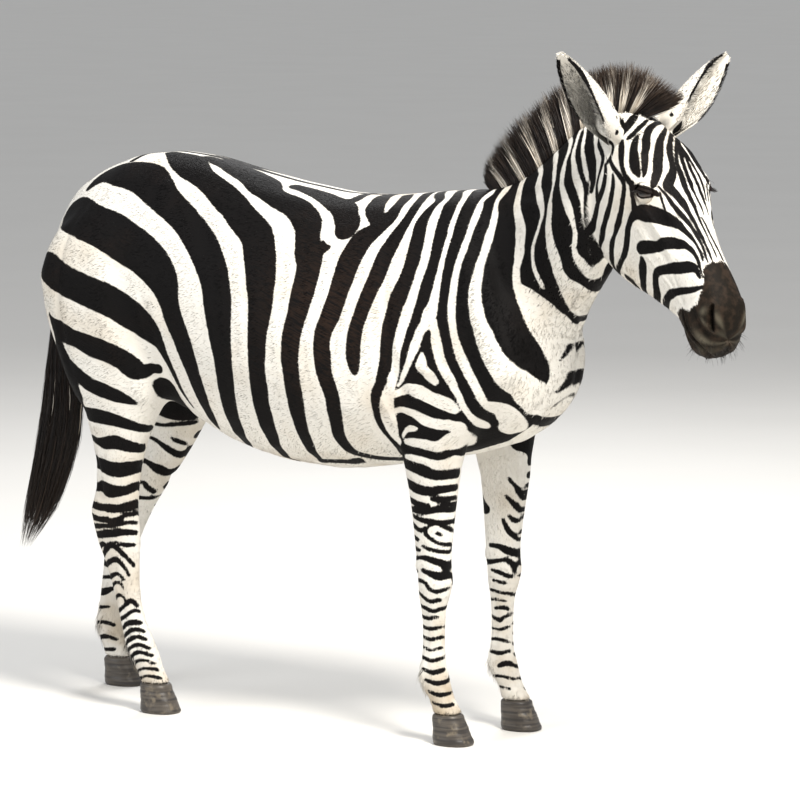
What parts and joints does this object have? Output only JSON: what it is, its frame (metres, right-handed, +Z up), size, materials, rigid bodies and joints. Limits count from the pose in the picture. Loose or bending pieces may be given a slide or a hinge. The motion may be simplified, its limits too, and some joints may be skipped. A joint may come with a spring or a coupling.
{
  "type": "zebra",
  "caption": "Life-size still model of an adult plains zebra, standing with its head turned a little to its right.",
  "frame": {"origin": "on the floor, below the middle of the animal's bounding box", "axes": "+X towards the animal's front, +Y to its left, +Z up"},
  "size_m": [2.0266, 0.6168, 1.5608],
  "materials": {
    "coat": "short glossy hair, black-brown stripes on cream white",
    "long_hair": "upright mane and tail hair, black and white with brown tips",
    "eye": "wet and glossy, dark brown",
    "hoof": "dull dark grey horn with fine rings"
  },
  "bodies": {
    "root": {"trunk": "coat", "neck": "coat", "head": "coat", "leg_front_right": "coat", "leg_front_left": "coat", "leg_hind_right": "coat", "leg_hind_left": "coat", "ear_right": "coat", "ear_left": "coat", "mane": "long_hair", "tail": "long_hair", "eye_right": "eye", "eye_left": "eye", "hoof_front_right": "hoof", "hoof_front_left": "hoof", "hoof_hind_right": "hoof", "hoof_hind_left": "hoof"}
  },
  "joints": []
}
